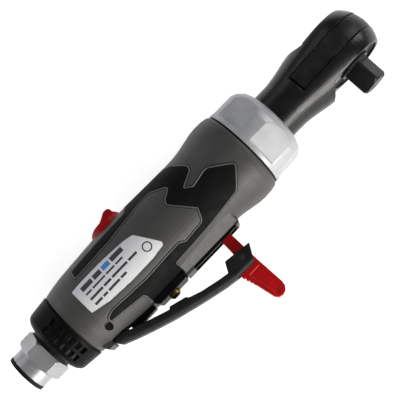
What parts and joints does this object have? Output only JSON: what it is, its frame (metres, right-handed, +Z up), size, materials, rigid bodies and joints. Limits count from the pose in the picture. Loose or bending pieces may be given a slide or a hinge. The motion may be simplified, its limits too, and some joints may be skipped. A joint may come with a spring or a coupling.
{
  "type": "air ratchet",
  "caption": "Air-driven ratchet wrench with a square drive on a slim round head, a trigger with a safety lever, and an air regulator.",
  "frame": {"origin": "centre of the air inlet's mouth, on the tool's long axis", "axes": "+X along the tool from the air inlet to the ratchet head, -Y the way the trigger and the square drive point, +Z up from the label side of the tool lying on its side"},
  "size_m": [0.2652, 0.1007, 0.0538],
  "materials": {
    "body_paint": "painted satin",
    "soft_grip": "matt",
    "label_metal": "satin",
    "black_plastic": "satin",
    "black_rubber": "matt",
    "felt": "matt",
    "plated_steel": "satin",
    "screen_steel": "satin",
    "collar_alloy": "satin",
    "motor_steel": "ground",
    "bearing_steel": "polished",
    "gear_steel": "oiled",
    "vane_resin": "matt",
    "head_black": "black oxide",
    "anvil_black": "black oxide",
    "spring_steel": "bright",
    "brass": "satin",
    "red_plastic": "gloss",
    "lever_black": "satin"
  },
  "bodies": {
    "housing": {"housing": "body_paint", "grip_inlay": "soft_grip", "label_plate": "label_metal", "valve_boss": "black_plastic", "trigger_liner": "black_plastic", "rail_strips": "black_plastic", "muffler": "felt", "inlet_bushing": "plated_steel", "inlet_ring": "black_rubber", "inlet_screen": "screen_steel", "inlet_seal": "black_rubber", "clamp_collar": "collar_alloy", "collar_seal": "black_rubber", "motor_cylinder": "motor_steel", "rear_end_plate": "motor_steel", "front_end_plate": "motor_steel", "rear_bearing": "bearing_steel", "front_bearing": "bearing_steel", "ring_gear": "gear_steel", "crank_bearing": "bearing_steel", "thrust_washer": "motor_steel", "ratchet_housing": "head_black", "retaining_ring": "anvil_black", "valve_bushing": "brass", "valve_spring": "spring_steel", "trigger_pin": "anvil_black", "trigger_spring": "spring_steel"},
    "exhaust_cap": {"exhaust_cap": "black_plastic"},
    "rotor": {"rotor": "gear_steel", "rotor_vanes": "vane_resin"},
    "crank": {"crankshaft": "gear_steel", "planet_pins": "bearing_steel"},
    "planet_1": {"planet_gear_1": "gear_steel"},
    "planet_2": {"planet_gear_2": "gear_steel"},
    "planet_3": {"planet_gear_3": "gear_steel"},
    "drive_bushing": {"drive_bushing": "gear_steel"},
    "yoke": {"ratchet_yoke": "anvil_black"},
    "anvil": {"anvil": "anvil_black", "pawl_pin": "bearing_steel", "detent_spring": "spring_steel"},
    "detent_ball": {"detent_ball": "bearing_steel"},
    "pawl": {"pawl": "gear_steel"},
    "reverse_dial": {"reverse_dial": "anvil_black", "dial_plunger": "bearing_steel", "plunger_spring": "spring_steel"},
    "valve_pin": {"valve_pin": "brass", "valve_oring": "black_rubber"},
    "regulator": {"regulator_knob": "red_plastic", "regulator_spool": "brass", "regulator_oring": "black_rubber"},
    "trigger": {"trigger_lever": "lever_black", "safety_pin": "anvil_black", "safety_spring": "spring_steel"},
    "safety_lever": {"safety_lever": "red_plastic"}
  },
  "joints": [
    {"name": "exhaust_turn", "type": "hinge", "parent": "housing", "child": "exhaust_cap", "pos_m": [0.03, 0, 0], "axis": [1, 0, 0], "continuous": true},
    {"name": "rotor_spin", "type": "hinge", "parent": "housing", "child": "rotor", "pos_m": [0.12, 0, 0], "axis": [1, 0, 0], "continuous": true},
    {"name": "crank_spin", "type": "hinge", "parent": "housing", "child": "crank", "pos_m": [0.165, 0, 0], "axis": [1, 0, 0], "continuous": true},
    {"name": "planet_1_spin", "type": "hinge", "parent": "crank", "child": "planet_1", "pos_m": [0.1514, 0, -0.0108], "axis": [1, 0, 0], "continuous": true},
    {"name": "planet_2_spin", "type": "hinge", "parent": "crank", "child": "planet_2", "pos_m": [0.1514, 0.00935, 0.0054], "axis": [1, 0, 0], "continuous": true},
    {"name": "planet_3_spin", "type": "hinge", "parent": "crank", "child": "planet_3", "pos_m": [0.1514, -0.00935, 0.0054], "axis": [1, 0, 0], "continuous": true},
    {"name": "bushing_roll", "type": "hinge", "parent": "crank", "child": "drive_bushing", "pos_m": [0.2, 0, 0.0022], "axis": [1, 0, 0], "continuous": true},
    {"name": "yoke_rock", "type": "hinge", "parent": "housing", "child": "yoke", "pos_m": [0.2435, 0.0017, 0], "axis": [0, 1, 0], "range_deg": [-2.8, 2.8]},
    {"name": "anvil_turn", "type": "hinge", "parent": "housing", "child": "anvil", "pos_m": [0.2435, 0, 0], "axis": [0, 1, 0], "continuous": true},
    {"name": "ball_press", "type": "slide", "parent": "anvil", "child": "detent_ball", "axis": [-0.6691, 0, 0.7431], "range_m": [0, 0.0007], "stiffness_N_per_m": 800, "springref_m": -0.0005, "deforming": ["detent_spring"]},
    {"name": "dial_turn", "type": "hinge", "parent": "anvil", "child": "reverse_dial", "pos_m": [0.2435, 0.015, 0], "axis": [0, 1, 0], "range_deg": [-60, 0]},
    {"name": "pawl_rock", "type": "hinge", "parent": "anvil", "child": "pawl", "pos_m": [0.23867, 0.001, -0.00435], "axis": [0, 1, 0], "range_deg": [0, 10]},
    {"name": "valve_press", "type": "slide", "parent": "housing", "child": "valve_pin", "axis": [0, 1, 0], "range_m": [0, 0.002], "deforming": ["valve_spring"]},
    {"name": "regulator_turn", "type": "hinge", "parent": "housing", "child": "regulator", "pos_m": [0.0864, 0.02, 0], "axis": [0, 1, 0], "range_deg": [-45, 45]},
    {"name": "trigger_swing", "type": "hinge", "parent": "housing", "child": "trigger", "pos_m": [0.0507, -0.0166, 0], "axis": [0, 0, 1], "range_deg": [0, 7], "stiffness_Nm_per_rad": 0.6, "springref_deg": -11.46, "deforming": ["trigger_spring"]},
    {"name": "safety_turn", "type": "hinge", "parent": "trigger", "child": "safety_lever", "pos_m": [0.1253, -0.0418, 0], "axis": [0, 0, 1], "range_deg": [0, 75]}
  ],
  "couplings": [
    {"joint": "crank_spin", "follows": "rotor_spin", "ratio": 0.22222},
    {"joint": "planet_1_spin", "follows": "rotor_spin", "ratio": -0.62222},
    {"joint": "planet_2_spin", "follows": "rotor_spin", "ratio": -0.62222},
    {"joint": "planet_3_spin", "follows": "rotor_spin", "ratio": -0.62222},
    {"joint": "pawl_rock", "follows": "dial_turn", "ratio": -0.16667},
    {"joint": "valve_press", "follows": "trigger_swing", "m_per_rad": 0.016369},
    {"joint": "safety_turn", "follows": "trigger_swing", "ratio": 10.713}
  ]
}
